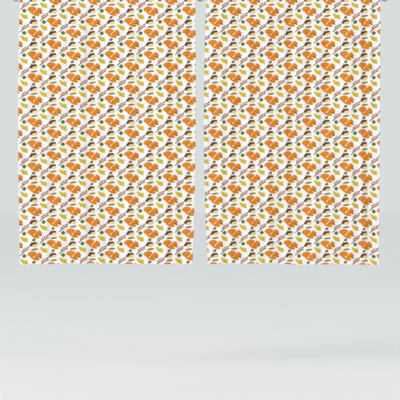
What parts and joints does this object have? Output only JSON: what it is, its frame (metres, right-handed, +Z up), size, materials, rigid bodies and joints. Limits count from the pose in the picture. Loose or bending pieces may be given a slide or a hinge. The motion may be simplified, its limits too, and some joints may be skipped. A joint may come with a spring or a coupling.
{
  "type": "window curtains on a rod",
  "caption": "Pair of short gathered rod-pocket kitchen curtains in a small repeating autumn print, on a telescopic metal rod with ball finials and wall brackets.",
  "frame": {"origin": "middle of the centre bracket's wall plate, on its flat back, which lies on the wall", "axes": "+X along the rod to the viewer's right, +Y out of the back into the wall, +Z up; the room is towards -Y"},
  "size_m": [1.4606, 0.1264, 1.0066],
  "materials": {
    "printed_cloth": "light plain-weave polyester, cool white ground with a small half-drop autumn print of orange animal shapes, acorns, berries and green, olive and yellow leaves",
    "rod_metal": "satin nickel plate with fine brushing",
    "bright_steel": "bright zinc-plated steel",
    "grey_nylon": "moulded grey nylon",
    "white_nylon": "moulded white nylon"
  },
  "bodies": {
    "wall_brackets": {"left_wall_plate": "rod_metal", "left_arm": "rod_metal", "left_cradle": "rod_metal", "left_upper_screw": "bright_steel", "left_lower_screw": "bright_steel", "left_upper_wall_plug": "white_nylon", "left_lower_wall_plug": "white_nylon", "centre_wall_plate": "rod_metal", "centre_arm": "rod_metal", "centre_cradle": "rod_metal", "centre_upper_screw": "bright_steel", "centre_lower_screw": "bright_steel", "centre_upper_wall_plug": "white_nylon", "centre_lower_wall_plug": "white_nylon", "right_wall_plate": "rod_metal", "right_arm": "rod_metal", "right_cradle": "rod_metal", "right_upper_screw": "bright_steel", "right_lower_screw": "bright_steel", "right_upper_wall_plug": "white_nylon", "right_lower_wall_plug": "white_nylon"},
    "rod": {"outer_tube": "rod_metal", "telescope_bush": "grey_nylon", "left_end_plug": "grey_nylon"},
    "inner_rod": {"inner_tube": "rod_metal", "right_end_plug": "grey_nylon"},
    "left_finial": {"left_finial_stud": "bright_steel", "left_finial_collar": "rod_metal", "left_finial_ball": "rod_metal"},
    "right_finial": {"right_finial_stud": "bright_steel", "right_finial_collar": "rod_metal", "right_finial_ball": "rod_metal"},
    "left_clamp": {"left_clamp_screw": "bright_steel"},
    "centre_clamp": {"centre_clamp_screw": "bright_steel"},
    "right_clamp": {"right_clamp_screw": "bright_steel"},
    "left_panel": {"left_rod_pocket": "printed_cloth", "left_skirt": "printed_cloth", "left_bottom_hem": "printed_cloth", "left_outer_hem": "printed_cloth"},
    "left_leading_edge": {"left_leading_hem": "printed_cloth"},
    "right_panel": {"right_rod_pocket": "printed_cloth", "right_skirt": "printed_cloth", "right_bottom_hem": "printed_cloth", "right_outer_hem": "printed_cloth"},
    "right_leading_edge": {"right_leading_hem": "printed_cloth"}
  },
  "joints": [
    {"name": "rod_lift_off", "type": "slide", "parent": "wall_brackets", "child": "rod", "axis": [0, 0, 1], "range_m": [0, 0.035]},
    {"name": "rod_telescope", "type": "slide", "parent": "rod", "child": "inner_rod", "axis": [1, 0, 0], "range_m": [-0.007, 0.75]},
    {"name": "left_finial_unscrew", "type": "hinge", "parent": "rod", "child": "left_finial", "pos_m": [-0.676, -0.075, 0.006], "axis": [-1, 0, 0], "continuous": true},
    {"name": "right_finial_unscrew", "type": "hinge", "parent": "inner_rod", "child": "right_finial", "pos_m": [0.676, -0.075, 0.006], "axis": [1, 0, 0], "continuous": true},
    {"name": "left_clamp_turn", "type": "hinge", "parent": "wall_brackets", "child": "left_clamp", "pos_m": [-0.66, -0.075, -0.02], "axis": [0, 0, 1], "continuous": true},
    {"name": "centre_clamp_turn", "type": "hinge", "parent": "wall_brackets", "child": "centre_clamp", "pos_m": [0, -0.075, -0.02], "axis": [0, 0, 1], "continuous": true},
    {"name": "right_clamp_turn", "type": "hinge", "parent": "wall_brackets", "child": "right_clamp", "pos_m": [0.66, -0.075, -0.02], "axis": [0, 0, 1], "continuous": true},
    {"name": "left_panel_swing", "type": "hinge", "parent": "rod", "child": "left_panel", "pos_m": [-0.328, -0.075, 0.006], "axis": [-1, 0, 0], "range_deg": [-3, 45]},
    {"name": "left_panel_draw", "type": "slide", "parent": "left_panel", "child": "left_leading_edge", "axis": [-1, 0, 0], "range_m": [0, 0.4], "deforming": ["left_rod_pocket", "left_skirt", "left_bottom_hem"]},
    {"name": "right_panel_swing", "type": "hinge", "parent": "rod", "child": "right_panel", "pos_m": [0.328, -0.075, 0.006], "axis": [-1, 0, 0], "range_deg": [-3, 45]},
    {"name": "right_panel_draw", "type": "slide", "parent": "right_panel", "child": "right_leading_edge", "axis": [1, 0, 0], "range_m": [0, 0.4], "deforming": ["right_rod_pocket", "right_skirt", "right_bottom_hem"]}
  ]
}
